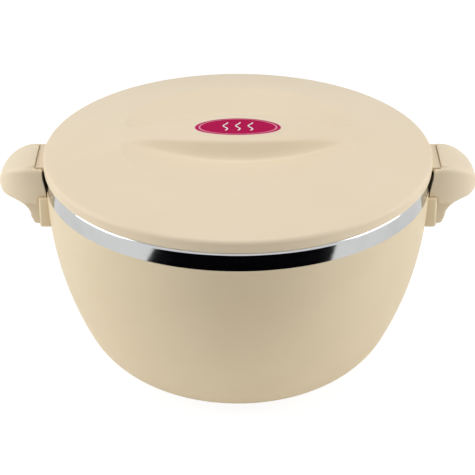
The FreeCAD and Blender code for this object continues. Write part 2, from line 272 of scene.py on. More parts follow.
# %% Mix the cream plastic
GRAIN = 0.6 * MM
GRAIN_DEPTH = 0.03 * MM
SHRINK = 22 * MM
SHRINK_DEPTH = 0.12 * MM
CLOUD = 60 * MM
PLASTIC_IOR = 1.49
PLASTIC_SPECULAR = 0.42


def moulded_plastic(name, code, darker, roughness):
    made, tree, shader = material(name, Specular_IOR_Level=PLASTIC_SPECULAR, IOR=PLASTIC_IOR)
    place = add(tree, "ShaderNodeTexCoord").outputs["Object"]
    cloud = add(tree, "ShaderNodeTexNoise", {"Vector": place, "Scale": 1 / CLOUD, "Detail": 2.0})
    even = add(tree, "ShaderNodeMapRange", {"Value": cloud, "From Min": 0.35, "From Max": 0.65})
    codes = {SHARE: even, COLOUR_A: linear(code), COLOUR_B: linear(darker)}
    tint = add(tree, "ShaderNodeMix", codes, data_type="RGBA")
    tree.links.new(tint.outputs[COLOUR_OUT], shader.inputs["Base Color"])
    grain = add(tree, "ShaderNodeTexNoise", {"Vector": place, "Scale": 1 / GRAIN, "Detail": 3.0})
    spread = {"Value": grain, "To Min": roughness - 0.04, "To Max": roughness + 0.05}
    gloss = add(tree, "ShaderNodeMapRange", spread)
    tree.links.new(gloss.outputs[0], shader.inputs["Roughness"])
    shrink = add(tree, "ShaderNodeTexNoise", {"Vector": place, "Scale": 1 / SHRINK, "Detail": 1.0})
    waves = {"Height": shrink, "Strength": 0.25, "Distance": SHRINK_DEPTH}
    low = add(tree, "ShaderNodeBump", waves)
    grit = {"Height": grain, "Normal": low, "Strength": 0.2, "Distance": GRAIN_DEPTH}
    fine = add(tree, "ShaderNodeBump", grit)
    tree.links.new(fine.outputs[0], shader.inputs["Normal"])
    print("finish", made.name)
    return made


casing_plastic = moulded_plastic("moulded_polypropylene_casing", "#E5D5B6", "#E2D1B1", 0.44)
handle_plastic = moulded_plastic("moulded_polypropylene_handle", "#E7D8BD", "#E4D4B8", 0.44)
lid_plastic = moulded_plastic("moulded_polypropylene_lid", "#E7D7BC", "#E5D4B8", 0.46)
plug_plastic = moulded_plastic("moulded_polyethylene_plug", "#DDCDAE", "#D8C7A6", 0.5)

# %% [markdown]
# ## Stainless steel
#
# The bowl is drawn from one stainless sheet and polished on a spinning chuck, so whatever marks
# are left run round the piece. The bowl and its band are polished until they mirror the room.
# The pan under the lid is left satin. The marks are about 0.05 mm apart on the real steel and
# are drawn about ten times wider here. They are noise on the radius and the height, so they
# follow the turning.

# %% Mix the steels
SMEAR = 14 * MM
SMEAR_CODE = "#C5C8CB"


def turned_steel(name, code, roughness, spacing, depth):
    made, tree, shader = material(name, Metallic=1.0)
    place = add(tree, "ShaderNodeTexCoord").outputs["Object"]
    split = add(tree, "ShaderNodeSeparateXYZ", {0: place})
    flat = add(tree, "ShaderNodeCombineXYZ", {"X": split.outputs["X"], "Y": split.outputs["Y"]})
    radius = add(tree, "ShaderNodeVectorMath", {0: flat}, operation="LENGTH").outputs["Value"]
    ring = add(tree, "ShaderNodeCombineXYZ", {"X": radius, "Z": split.outputs["Z"]})
    marks = add(tree, "ShaderNodeTexNoise", {"Vector": ring, "Scale": 1 / spacing, "Detail": 4.0})
    smear = add(tree, "ShaderNodeTexNoise", {"Vector": place, "Scale": 1 / SMEAR, "Detail": 2.0})
    codes = {SHARE: smear, COLOUR_A: linear(code), COLOUR_B: linear(SMEAR_CODE)}
    tone = add(tree, "ShaderNodeMix", codes, data_type="RGBA")
    tree.links.new(tone.outputs[COLOUR_OUT], shader.inputs["Base Color"])
    spread = {"Value": marks, "To Min": roughness * 0.7, "To Max": roughness * 1.4}
    gloss = add(tree, "ShaderNodeMapRange", spread)
    tree.links.new(gloss.outputs[0], shader.inputs["Roughness"])
    bump = add(tree, "ShaderNodeBump", {"Height": marks, "Strength": 0.3, "Distance": depth})
    tree.links.new(bump.outputs[0], shader.inputs["Normal"])
    print("finish", made.name)
    return made


polished_steel = turned_steel("polished_stainless_steel", "#D0D3D6", 0.07, 0.5 * MM, 0.004 * MM)
satin_steel = turned_steel("satin_stainless_steel", "#C8C8C5", 0.26, 0.4 * MM, 0.012 * MM)

# %% [markdown]
# ## Silicone and foam
#
# The gasket is translucent white silicone: soft, slightly milky, with a low shine. The foam in
# the walls is rigid polyurethane, pale yellow with cells about half a millimetre wide. It never
# shows on the finished casserole, but it has its finish all the same.

# %% Mix the silicone
MILK = 6 * MM

silicone, tree, shader = material("translucent_silicone", Roughness=0.45, Subsurface_Weight=0.3)
shader.inputs["Subsurface Radius"].default_value = (1.5 * MM, 1.3 * MM, 1.1 * MM)
place = add(tree, "ShaderNodeTexCoord").outputs["Object"]
milk = add(tree, "ShaderNodeTexNoise", {"Vector": place, "Scale": 1 / MILK})
codes = {SHARE: milk, COLOUR_A: linear("#ECEAE4"), COLOUR_B: linear("#DEDCD4")}
tint = add(tree, "ShaderNodeMix", codes, data_type="RGBA")
tree.links.new(tint.outputs[COLOUR_OUT], shader.inputs["Base Color"])
print("finish", silicone.name)

# %% Mix the foam
FOAM_CELL = 0.5 * MM
CELL_DEPTH = 0.2 * MM

foam, tree, shader = material("rigid_polyurethane_foam", Roughness=0.9)
place = add(tree, "ShaderNodeTexCoord").outputs["Object"]
cells = add(tree, "ShaderNodeTexVoronoi", {"Vector": place, "Scale": 1 / FOAM_CELL})
codes = {SHARE: cells, COLOUR_A: linear("#E9DFA8"), COLOUR_B: linear("#CDBE80")}
tint = add(tree, "ShaderNodeMix", codes, data_type="RGBA")
tree.links.new(tint.outputs[COLOUR_OUT], shader.inputs["Base Color"])
bump = add(tree, "ShaderNodeBump", {"Height": cells, "Strength": 0.8, "Distance": CELL_DEPTH})
tree.links.new(bump.outputs[0], shader.inputs["Normal"])
print("finish", foam.name)

# %% [markdown]
# ## Turning a section
#
# Casing, bowl, lid and liner are all solids of revolution. The tree takes the points of a half
# section and copies them to the columns of a grid, each column turned a little further round
# the axis. The last column meets the first, and the points on the axis meet each other, so the
# merge closes the skin. A section that runs out along the underside and back over the top has
# its faces pointing outwards.

# %% Build the turning tree
MERGE = 0.005 * MM


def turning_tree():
    tree, source = geometry_tree("turn_section", {"Segments": "Int", "Material": "Material"})
    section = source.outputs["Geometry"]
    segments = source.outputs["Segments"]
    count = add(tree, "GeometryNodeAttributeDomainSize", {0: section}).outputs["Point Count"]
    columns = add(tree, "ShaderNodeMath", {0: segments, 1: 1.0}, operation="ADD")
    grid = add(tree, "GeometryNodeMeshGrid", {"Vertices X": columns, "Vertices Y": count})
    index = add(tree, "GeometryNodeInputIndex")
    row = add(tree, "ShaderNodeMath", {0: index, 1: count}, operation="MODULO")
    ratio = add(tree, "ShaderNodeMath", {0: index, 1: count}, operation="DIVIDE")
    column = add(tree, "ShaderNodeMath", {0: ratio}, operation="FLOOR")
    spot = add(tree, "GeometryNodeInputPosition")
    sample = {0: section, 1: spot, 2: row}
    drawn = add(tree, "GeometryNodeSampleIndex", sample, data_type="FLOAT_VECTOR")
    part = add(tree, "ShaderNodeMath", {0: column, 1: segments}, operation="DIVIDE")
    turn = add(tree, "ShaderNodeMath", {0: part, 1: math.tau}, operation="MULTIPLY")
    placed = add(tree, "ShaderNodeVectorRotate", {0: drawn, "Angle": turn}, rotation_type="Z_AXIS")
    rolled = add(tree, "GeometryNodeSetPosition", {0: grid, "Position": placed})
    joined = add(tree, "GeometryNodeMergeByDistance", {0: rolled, "Distance": MERGE})
    return close_tree(tree, joined, source)


turn_section = turning_tree()


def turned(name, stretches, finish, segments=256):
    """A piece turned from a section."""
    piece = section_object(name, stretches)
    grow(piece, turn_section, {"Segments": segments, "Material": finish})
    return shade(piece)


# %% [markdown]
# ## The casing
#
# One moulding, upright under the steel band and drawn in towards a small foot: a long arc down
# the side, a tighter arc into the foot, and a ring that the casserole stands on. Its shape
# follows a rule, so it is turned from arcs that touch each other, and the shading stays smooth
# from one curve to the next.

# %% Find where the casing's arcs meet
side_radius = 230.0
knuckle_radius = 50.0
foot_cut = 3.4
band_height = 12.0
band_bottom = rim_height - band_height

side_centre = (casing_radius - side_radius, band_bottom)
knuckle_height = knuckle_radius - foot_cut
rise = band_bottom - knuckle_height
slope = math.degrees(math.asin(rise / (side_radius - knuckle_radius)))
knuckle_x = side_centre[0] + math.sqrt((side_radius - knuckle_radius) ** 2 - rise ** 2)
knuckle_centre = (knuckle_x, knuckle_height)


def casing_line(inset, floor):
    """The casing's side from its floor up to the band, moved inwards by the inset."""
    drop = math.degrees(math.asin((knuckle_height - floor) / (knuckle_radius - inset)))
    lower = bend(knuckle_centre, knuckle_radius - inset, -drop, -slope, 24)
    return lower + bend(side_centre, side_radius - inset, -slope, 0, 40)


print("the arcs meet", round(slope, 1), "degrees below the level, at the knuckle's outer side")

# %% [markdown]
# The rest of the section is short: the rim under the band, the neck, the inside, the hole that
# the foam is filled through, and the foot ring with the recess inside it.

# %% Turn the casing
casing_wall = 2.2
foot_ring_width = 12.0
foot_ring_height = 1.5
plug_hole = 7.0
collar_gap = 0.7
edge_round = 0.5


def casing_piece():
    outside = casing_line(0, 0)
    inside = casing_line(casing_wall, foot_ring_height + casing_wall)[::-1]
    foot = outside[0][0]
    ring = foot - foot_ring_width
    shoulder = (casing_radius - edge_round, band_bottom)
    outside[-1] = (casing_radius, band_bottom - edge_round)
    rim = bend((shoulder[0], band_bottom - edge_round), edge_round, 0, 90, 5)
    neck = run(shoulder, (band_radius - casing_wall - collar_gap, band_bottom))
    floor = run((plug_hole, foot_ring_height + casing_wall), (plug_hole, foot_ring_height))
    recess = run((plug_hole, foot_ring_height), (ring, foot_ring_height))
    stand = run((ring, foot_ring_height), (ring, 0)) + run((ring, 0), (foot, 0))
    return turned("casing", [outside, rim, neck, inside[1:], floor, recess, stand], casing_plastic)


casing = casing_piece()

# %% [markdown]
# ## Rails beside the handles
#
# Four upright rails stand out from the casing, one at each side of each handle's foot. One rail
# is a block whose outer corners get a wide bevel and whose other edges get a narrow one.

# %% Make one rail
rail_inner = 19.0
rail_outer = 23.3
rail_root = 120.2
rail_reach = 127.3
rail_head = 120.3
rail_round = 1.8
soft_edge = 0.35
near = 1.0
crisp_angle = 1.2


def rail_blank():
    """One rail with its outer corners rounded."""
    shape = bmesh.new()
    bmesh.ops.create_cube(shape, size=1)
    low = Vector((rail_root, rail_inner, handle_bottom))
    high = Vector((rail_reach, rail_outer, rail_head))
    for vertex in shape.verts:
        share = vertex.co + Vector((0.5, 0.5, 0.5))
        vertex.co = Vector(a + (b - a) * s for a, b, s in zip(low, high, share)) * MM
    front = [e for e in shape.edges if all(v.co.x > (rail_reach - near) * MM for v in e.verts)]
    side = [e for e in front if all(v.co.y > (rail_outer - near) * MM for v in e.verts)]
    lower = [e for e in front if all(v.co.z < (handle_bottom + near) * MM for v in e.verts)]
    wide = {"offset": rail_round * MM, "segments": 6, "affect": "EDGES", "profile": 0.5}
    bmesh.ops.bevel(shape, geom=side + lower, **wide)
    crisp = [e for e in shape.edges if e.calc_face_angle(0) > crisp_angle]
    narrow = {"offset": soft_edge * MM, "segments": 3, "affect": "EDGES", "profile": 0.5}
    bmesh.ops.bevel(shape, geom=crisp, **narrow)
    return piece_from("rails", shape)


rails = rail_blank()
print("one rail has", len(rails.data.polygons), "faces")

# %% [markdown]
# A tree repeats the rail: it is mirrored across the handle, and the pair is then turned half
# round for the other handle. A mirrored mesh is inside out, so its faces are flipped back.

# %% Repeat the rail
def rails_tree():
    tree, source = geometry_tree("rails_on_both_sides", {"Material": "Material"})
    mirror = add(tree, "GeometryNodeTransform", {0: source.outputs["Geometry"], "Scale": (1, -1, 1)})
    flipped = add(tree, "GeometryNodeFlipFaces", {0: mirror})
    pair = add(tree, "GeometryNodeJoinGeometry")
    tree.links.new(source.outputs["Geometry"], pair.inputs[0])
    tree.links.new(flipped.outputs[0], pair.inputs[0])
    line = add(tree, "GeometryNodeMeshLine", {"Count": 2, "Offset": (0, 0, 0)})
    index = add(tree, "GeometryNodeInputIndex")
    turn = add(tree, "ShaderNodeMath", {0: index, 1: math.pi}, operation="MULTIPLY")
    angle = add(tree, "ShaderNodeCombineXYZ", {"Z": turn})
    both = {0: line, "Instance": pair, "Rotation": angle}
    copies = add(tree, "GeometryNodeInstanceOnPoints", both)
    return close_tree(tree, copies, source)


grow(rails, rails_tree(), {"Material": casing_plastic})
shade(rails)

# %% [markdown]
# ## The steel bowl
#
# One sheet, 0.6 mm thick, pressed into the bowl, turned out into a flat ledge, rounded over the
# lip and down over the casing as the band. Turning one closed section keeps the wall equally
# thick, and the many short steps in the lip give the narrow bright line along the band's top.

# %% Turn the bowl
steel = 0.6
lip_radius = 2.0
rim_corner = 3.0
bowl_knuckle = 38.0
wall_stack = 10.4
bowl_floor = 16.3
bowl_segments = 320


def bowl_line(inset):
    """Upper face of the sheet at inset 0, its lower face at minus one thickness."""
    side = side_radius - wall_stack - inset
    knuckle = bowl_knuckle - inset
    centre_height = bowl_floor + bowl_knuckle
    climb = band_bottom - centre_height
    lean = math.degrees(math.asin(climb / (side - knuckle)))
    centre = (side_centre[0] + math.sqrt((side - knuckle) ** 2 - climb ** 2), centre_height)
    base = run((0, bowl_floor + inset), (centre[0], bowl_floor + inset))
    wall = bend(centre, knuckle, -90, -lean, 24) + bend(side_centre, side, -lean, 0, 36)
    radius = side_centre[0] + side
    corner = (radius + rim_corner + inset, rim_height - rim_corner)
    upright = run((radius, band_bottom), (radius, corner[1]))
    turn = bend(corner, rim_corner + inset, 180, 90, 8)
    lip = (band_radius - lip_radius, rim_height - lip_radius)
    ledge = run((corner[0], rim_height + inset), (lip[0], rim_height + inset))
    over = bend(lip, lip_radius + inset, 90, 0, 12)
    band = run((band_radius + inset, lip[1]), (band_radius + inset, band_bottom))
    return [point for part in (base, wall, upright, turn, ledge, over, band) for point in part]


sheet = [bowl_line(-steel), bowl_line(0)[::-1]]
bowl = turned("steel_bowl", sheet, polished_steel, bowl_segments)

# %% [markdown]
# ## The lid
#
# The lid is a flat dome, its edge rounded over and turned down. It is turned first, and then
# the two finger scoops are pressed into it, so that the bridge is left standing between them.
# Where the scoops go, the rows of the dome are close together, to leave the press enough
# points to move.

# %% Find the lid's dome
dome_radius = 488.0
edge_radius = 3.0
edge_height = 8.66
pressed_zone = 80.0

edge_centre = (lid_radius - edge_radius, lid_bottom + edge_height - edge_radius)
fall = dome_radius - math.sqrt((dome_radius - edge_radius) ** 2 - edge_centre[0] ** 2)
crown = edge_centre[1] + fall


def dome_line(inset, radius, steps, start=0.0):
    """Points of the dome from one radius out to another."""
    ball = dome_radius - inset
    radii = [start + (radius - start) * i / steps for i in range(steps + 1)]
    return [(r, crown - dome_radius + math.sqrt(ball ** 2 - r ** 2)) for r in radii]


print("lid crown", round(crown, 2), "mm")

# %% Turn the lid
edge_draft = 0.6
heel_draft = 0.05
lid_wall = 2.4
ledge_width = 4.6
pocket_height = 1.5
lid_segments = 360


def lid_blank():
    touch = dome_radius * edge_centre[0] / (dome_radius - edge_radius)
    tilt = math.degrees(math.acos(edge_centre[0] / (dome_radius - edge_radius)))
    crest = dome_line(0, pressed_zone, 84) + dome_line(0, touch, 16, pressed_zone)
    edge = bend(edge_centre, edge_radius, tilt, 0, 12)
    foot = lid_radius - edge_draft
    heel_top = lid_bottom + edge_round
    skirt = run((lid_radius, edge_centre[1]), (foot + heel_draft, heel_top))
    heel = bend((foot - edge_round, heel_top), edge_round, 0, -90, 4)
    pocket = lid_radius - lid_wall
    ledge = pocket - ledge_width
    ledge_height = lid_bottom + pocket_height
    under = run((foot - edge_round, lid_bottom), (pocket, lid_bottom))
    step = run((pocket, lid_bottom), (pocket, ledge_height))
    flat = run((pocket, ledge_height), (ledge, ledge_height))
    rise = run(flat[-1], dome_line(lid_wall, ledge, 1)[1])
    roof = dome_line(lid_wall, ledge, 12, pressed_zone)[::-1]
    roof += dome_line(lid_wall, pressed_zone, 40)[::-1]
    stretches = [crest, edge, skirt, heel, under, step, flat, rise, roof]
    upwards = [stretch[::-1] for stretch in stretches[::-1]]
    return turned("lid_dome", upwards, lid_plastic, lid_segments)


lid_dome = lid_blank()

# %% [markdown]
# The rule of the press is short. A scoop is a dish, whose depth shrinks to nothing at the
# scoop's rim. The bridge's wall has a depth too, which grows with the distance from the
# bridge's edge. A point goes down by the smaller of the two. Smooth minimum and maximum nodes
# round the edges between them, as the real mould does. First comes the dish: the dome falls by
# about the radius squared over twice its own radius, and the dish rises from the scoop's floor
# and meets the dome at the rim.

# %% Measure the dish
rim_blend = 0.5


def dish_depth(tree, size, radius):
    """How far the dish lies below the dome, nought outside the scoop's rim."""
    square = add(tree, "ShaderNodeMath", {0: radius, 1: radius}, operation="MULTIPLY")
    twice = add(tree, "ShaderNodeMath", {0: size["Dome radius"], 1: 2.0}, operation="MULTIPLY")
    dome_fall = add(tree, "ShaderNodeMath", {0: square, 1: twice}, operation="DIVIDE")
    dome = add(tree, "ShaderNodeMath", {0: size["Crown"], 1: dome_fall}, operation="SUBTRACT")
    rim_square = add(tree, "ShaderNodeMath", {0: size["Scoop radius"], 1: 2.0}, operation="POWER")
    rim_fall = add(tree, "ShaderNodeMath", {0: rim_square, 1: twice}, operation="DIVIDE")
    rim = add(tree, "ShaderNodeMath", {0: size["Crown"], 1: rim_fall}, operation="SUBTRACT")
    lift = add(tree, "ShaderNodeMath", {0: rim, 1: size["Scoop floor"]}, operation="SUBTRACT")
    share = add(tree, "ShaderNodeMath", {0: square, 1: rim_square}, operation="DIVIDE")
    climb = add(tree, "ShaderNodeMath", {0: share, 1: lift}, operation="MULTIPLY")
    dish = add(tree, "ShaderNodeMath", {0: climb, 1: size["Scoop floor"]}, operation="ADD")
    depth = add(tree, "ShaderNodeMath", {0: dome, 1: dish}, operation="SUBTRACT")
    rounded = {0: depth, 1: 0.0, 2: rim_blend * MM}
    return add(tree, "ShaderNodeMath", rounded, operation="SMOOTH_MAX")


print("the rim of a scoop is rounded over", rim_blend, "mm")

# %% [markdown]
# Then comes the wall. The bridge's edge is a wide arc, the same on both sides. The distances
# inwards from that edge and from the scoop's rim are blended over a long stretch, which rounds
# the pointed ends of each scoop.

# %% Measure the bridge's wall
wall_slope = 1.85
corner_blend = 44.5
brow_blend = 3.6


def wall_depth(tree, size, split, radius):
    """How far the bridge's wall has dropped at a point."""
    side = add(tree, "ShaderNodeMath", {0: split.outputs["Y"]}, operation="ABSOLUTE")
    centre = {0: size["Bridge bulge"], 1: size["Bridge half width"]}
    offset = add(tree, "ShaderNodeMath", centre, operation="SUBTRACT")
    reach = add(tree, "ShaderNodeMath", {0: side, 1: offset}, operation="ADD")
    arm = add(tree, "ShaderNodeCombineXYZ", {"X": split.outputs["X"], "Y": reach})
    span = add(tree, "ShaderNodeVectorMath", {0: arm}, operation="LENGTH").outputs["Value"]
    past_edge = add(tree, "ShaderNodeMath", {0: span, 1: size["Bridge bulge"]}, operation="SUBTRACT")
    from_rim = {0: size["Scoop radius"], 1: radius}
    inside_rim = add(tree, "ShaderNodeMath", from_rim, operation="SUBTRACT")
    edges = {0: past_edge, 1: inside_rim, 2: corner_blend * MM}
    inside = add(tree, "ShaderNodeMath", edges, operation="SMOOTH_MIN")
    wall = add(tree, "ShaderNodeMath", {0: inside, 1: wall_slope}, operation="MULTIPLY")
    rounded = {0: wall, 1: 0.0, 2: brow_blend * MM}
    return add(tree, "ShaderNodeMath", rounded, operation="SMOOTH_MAX")


wall_angle = math.degrees(math.atan(1 / wall_slope))
print("the bridge's wall stands", round(wall_angle, 1), "degrees from upright")

# %% [markdown]
# Last, the press takes the smaller depth and moves each point of the lid down by it. The blend
# at the wall's foot fades out with the dish, so nothing moves outside a scoop.

# %% Press the scoops
scoop_radius = 77.5
scoop_depth = 13.1
bridge_half_width = 19.9
bridge_bulge = 157.0
foot_blend = 10.0


def scoops_tree(sizes):
    kinds = {label: "Float" for label in sizes}
    tree, source = geometry_tree("press_scoops", {**kinds, "Material": "Material"})
    size = source.outputs
    spot = add(tree, "GeometryNodeInputPosition")
    split = add(tree, "ShaderNodeSeparateXYZ", {0: spot})
    flat = add(tree, "ShaderNodeCombineXYZ", {"X": split.outputs["X"], "Y": split.outputs["Y"]})
    radius = add(tree, "ShaderNodeVectorMath", {0: flat}, operation="LENGTH").outputs["Value"]
    dish = dish_depth(tree, size, radius)
    wall = wall_depth(tree, size, split, radius)
    half = add(tree, "ShaderNodeMath", {0: dish, 1: 0.5}, operation="MULTIPLY")
    soft = add(tree, "ShaderNodeMath", {0: half, 1: foot_blend * MM}, operation="MINIMUM")
    press = add(tree, "ShaderNodeMath", {0: dish, 1: wall, 2: soft}, operation="SMOOTH_MIN")
    down = add(tree, "ShaderNodeMath", {0: press, 1: -1.0}, operation="MULTIPLY")
    move = add(tree, "ShaderNodeCombineXYZ", {"Z": down})
    pressed = add(tree, "GeometryNodeSetPosition", {0: size["Geometry"], "Offset": move})
    return close_tree(tree, pressed, source)


scoop_sizes = {
    "Crown": crown * MM,
    "Dome radius": dome_radius * MM,
    "Scoop radius": scoop_radius * MM,
    "Scoop floor": (crown - scoop_depth) * MM,
    "Bridge half width": bridge_half_width * MM,
    "Bridge bulge": bridge_bulge * MM,
}
grow(lid_dome, scoops_tree(scoop_sizes), {**scoop_sizes, "Material": lid_plastic})
shade(lid_dome, 50)

# %% [markdown]
# ## Handles and ears
#
# The handles are thick, hand-sized mouldings with soft edges and a thumb pad on top. The ears
# are short tabs on the lid's edge that lie in the handles' notches, a little below the pad.
# The CAD solids have the right form with exact edges. A copy of each is merged, remeshed into
# small even faces and smoothed, which rounds every edge a little, as a mould does. An ear is
# cut from the copy of the lid by the planes of a box, and each cut is closed again.

# %% Cut and soften the mouldings
WELD = 0.001 * MM


def cut_off(shape, axis, sign, place):
    """Cut away what lies past a plane across one axis, and close the cut."""
    normal = Vector((0, 0, 0))
    normal[axis] = sign
    point = Vector((0, 0, 0))
    point[axis] = place * MM
    cut = bmesh.ops.bisect_plane(shape, geom=shape.verts[:] + shape.edges[:] + shape.faces[:],
                                 plane_co=point, plane_no=normal, clear_outer=True, dist=WELD)
    rim = [g for g in cut["geom_cut"] if isinstance(g, bmesh.types.BMEdge)]
    bmesh.ops.triangle_fill(shape, edges=rim, use_beauty=True, use_dissolve=False)


def softened(name, node, finish, voxel, passes, low=(), high=()):
    """A copy of a CAD node, or of the part of it inside a box, with soft edges."""
    shape = bmesh.new()
    shape.from_mesh(nodes[node].data)
    bmesh.ops.remove_doubles(shape, verts=shape.verts, dist=WELD)
    for corner, sign in ((low, -1), (high, 1)):
        for axis, place in enumerate(corner):
            if place is not None:
                cut_off(shape, axis, sign, place)
    piece = piece_from(name, shape)
    remesh = piece.modifiers.new("even_faces", "REMESH")
    remesh.mode = "VOXEL"
    remesh.voxel_size = voxel * MM
    smooth = piece.modifiers.new("soft_edges", "SMOOTH")
    smooth.factor = 0.5
    smooth.iterations = passes
    evaluated = piece.evaluated_get(bpy.context.evaluated_depsgraph_get())
    piece.data = bpy.data.meshes.new_from_object(evaluated)
    piece.modifiers.clear()
    piece.data.materials.clear()
    piece.data.materials.append(finish)
    piece.data.polygons.foreach_set("use_smooth", [True] * len(piece.data.polygons))
    print(name, len(piece.data.polygons), "faces")
    return piece


# %% [markdown]
# The handles need few faces for their size. The ears are small and thin, so their faces are
# smaller and they are smoothed less.

# %% Make handles and ears
handle_voxel = 0.5
handle_passes = 6
ear_voxel = 0.3
ear_passes = 3
ear_half = 17.0
ear_root = 1.6
ear_reach = 5.0
ear_drop = 1.2

handles = {}
ears = {}
for side in ("left", "right"):
    grip_name = side + "_grip"
    node = side + "_handle"
    handles[side] = softened(grip_name, node, handle_plastic, handle_voxel, handle_passes)
for side, sign in (("left", -1), ("right", 1)):
    inner, outer = sorted((sign * (lid_radius - ear_root), sign * (lid_radius + ear_reach)))
    low = (inner, -ear_half)
    high = (outer, ear_half, handle_top - ear_drop)
    ear_name = side + "_ear"
    ears[side] = softened(ear_name, "lid_cover", lid_plastic, ear_voxel, ear_passes, low, high)

# %% [markdown]
# ## The badge
#
# A thin oval label lies in a shallow recess on top of the bridge and follows the dome. It is a
# plate with a slightly rounded edge, built from rings of points. Each ring is an oval of its
# own size, lifted a little above the dome, and the last one lies in the recess.

# %% Cut the badge
badge_half_length = 27.8
badge_half_width = 12.8
badge_steps = 120
ring_shares = [0.0, 0.25, 0.5, 0.75, 0.94, 0.985, 1.0, 1.0]
ring_lifts = [0.06, 0.06, 0.06, 0.06, 0.06, 0.04, 0.0, -0.35]


def badge_ring(shape, share, lift):
    """One oval of points on the dome."""
    ring = []
    for i in range(badge_steps):
        turn = math.tau * i / badge_steps
        x = share * badge_half_length * math.cos(turn)
        y = share * badge_half_width * math.sin(turn)
        z = crown - dome_radius + math.sqrt(dome_radius ** 2 - x * x - y * y) + lift
        ring.append(shape.verts.new(Vector((x, y, z)) * MM))
    return ring


def badge_piece():
    shape = bmesh.new()
    rings = [badge_ring(shape, share, lift) for share, lift in zip(ring_shares, ring_lifts)]
    for inner, outer in zip(rings, rings[1:]):
        for i in range(badge_steps):
            j = (i + 1) % badge_steps
            shape.faces.new((inner[i], outer[i], outer[j], inner[j]))
    shape.faces.new(rings[-1][::-1])
    bmesh.ops.remove_doubles(shape, verts=shape.verts, dist=WELD / 2)
    bmesh.ops.recalc_face_normals(shape, faces=shape.faces)
    return shade(piece_from("badge", shape), 60)


badge = badge_piece()
print("badge", len(badge.data.polygons), "faces")

# %% [markdown]
# The label is a printed film with a dull satin face: deep magenta and a thin pale line inside
# its edge. Over the rounded edge the colour lightens to pale pink, which is a painted highlight.
# The rings are drawn from the oval's own measure, one at its edge and nought in its middle. A
# fine speckle of ink keeps it from being flat.

# %% Print the badge
INK = 1.2 * MM

label_print_and_edge_highlight, tree, shader = material("printed_satin_label_painted_edge_highlight", Roughness=0.5, Specular_IOR_Level=0.0)
place = add(tree, "ShaderNodeTexCoord").outputs["Object"]
scale = (1 / (badge_half_length * MM), 1 / (badge_half_width * MM), 0)
oval = add(tree, "ShaderNodeMapping", {"Vector": place, "Scale": scale})
measure = add(tree, "ShaderNodeVectorMath", {0: oval}, operation="LENGTH").outputs["Value"]
rings = add(tree, "ShaderNodeValToRGB", {0: measure})
rings.color_ramp.interpolation = "LINEAR"
# The last colours, from 0.965 of the measure out to the edge, are a painted highlight on the rounded
# edge.
print_and_edge_highlight_stops = [(0.0, "#B20E4D"), (0.86, "#B20E4D"), (0.875, "#DC93AB"), (0.9, "#DC93AB"),
         (0.915, "#B20E4D"), (0.965, "#B9205A"), (0.985, "#CE6A8E"), (1.0, "#E3B9C4")]
ramp = rings.color_ramp.elements
while len(ramp) < len(print_and_edge_highlight_stops):
    ramp.new(0.5)
for element, (position, code) in zip(ramp, print_and_edge_highlight_stops):
    element.position = position
    element.color = linear(code)
ink = add(tree, "ShaderNodeTexNoise", {"Vector": place, "Scale": 1 / INK, "Detail": 3.0})
fade = add(tree, "ShaderNodeMapRange", {"Value": ink, "To Min": 0.0, "To Max": 0.02})
codes = {SHARE: fade, COLOUR_A: rings.outputs[0], COLOUR_B: linear("#FFFFFF")}
tint = add(tree, "ShaderNodeMix", codes, data_type="RGBA")
tree.links.new(tint.outputs[COLOUR_OUT], shader.inputs["Base Color"])
badge.data.materials.append(label_print_and_edge_highlight)
print("finish", label_print_and_edge_highlight.name)

# %% [markdown]
# Three curls of steam are printed on the label in a pale ink. The ink has its own finish, with
# a speckle under a millimetre wide.

# %% Mix the pale ink
SPECKLE = 0.8 * MM

pale_ink, tree, shader = material("pale_printing_ink", Roughness=0.3)
place = add(tree, "ShaderNodeTexCoord").outputs["Object"]
grainy = add(tree, "ShaderNodeTexNoise", {"Vector": place, "Scale": 1 / SPECKLE})
codes = {SHARE: grainy, COLOUR_A: linear("#F6EDEE"), COLOUR_B: linear("#E9DADD")}
tint = add(tree, "ShaderNodeMix", codes, data_type="RGBA")
tree.links.new(tint.outputs[COLOUR_OUT], shader.inputs["Base Color"])
print("finish", pale_ink.name)

# %% [markdown]
# One curl is a line bent by a sine wave and swept with a thin flat profile, so that it is a
# closed ribbon. It swells in its middle and is narrow at its ends.

# %% Bend one curl
curl_points = 40
curl_turns = 2.6 * math.pi
curl_tip = 0.2


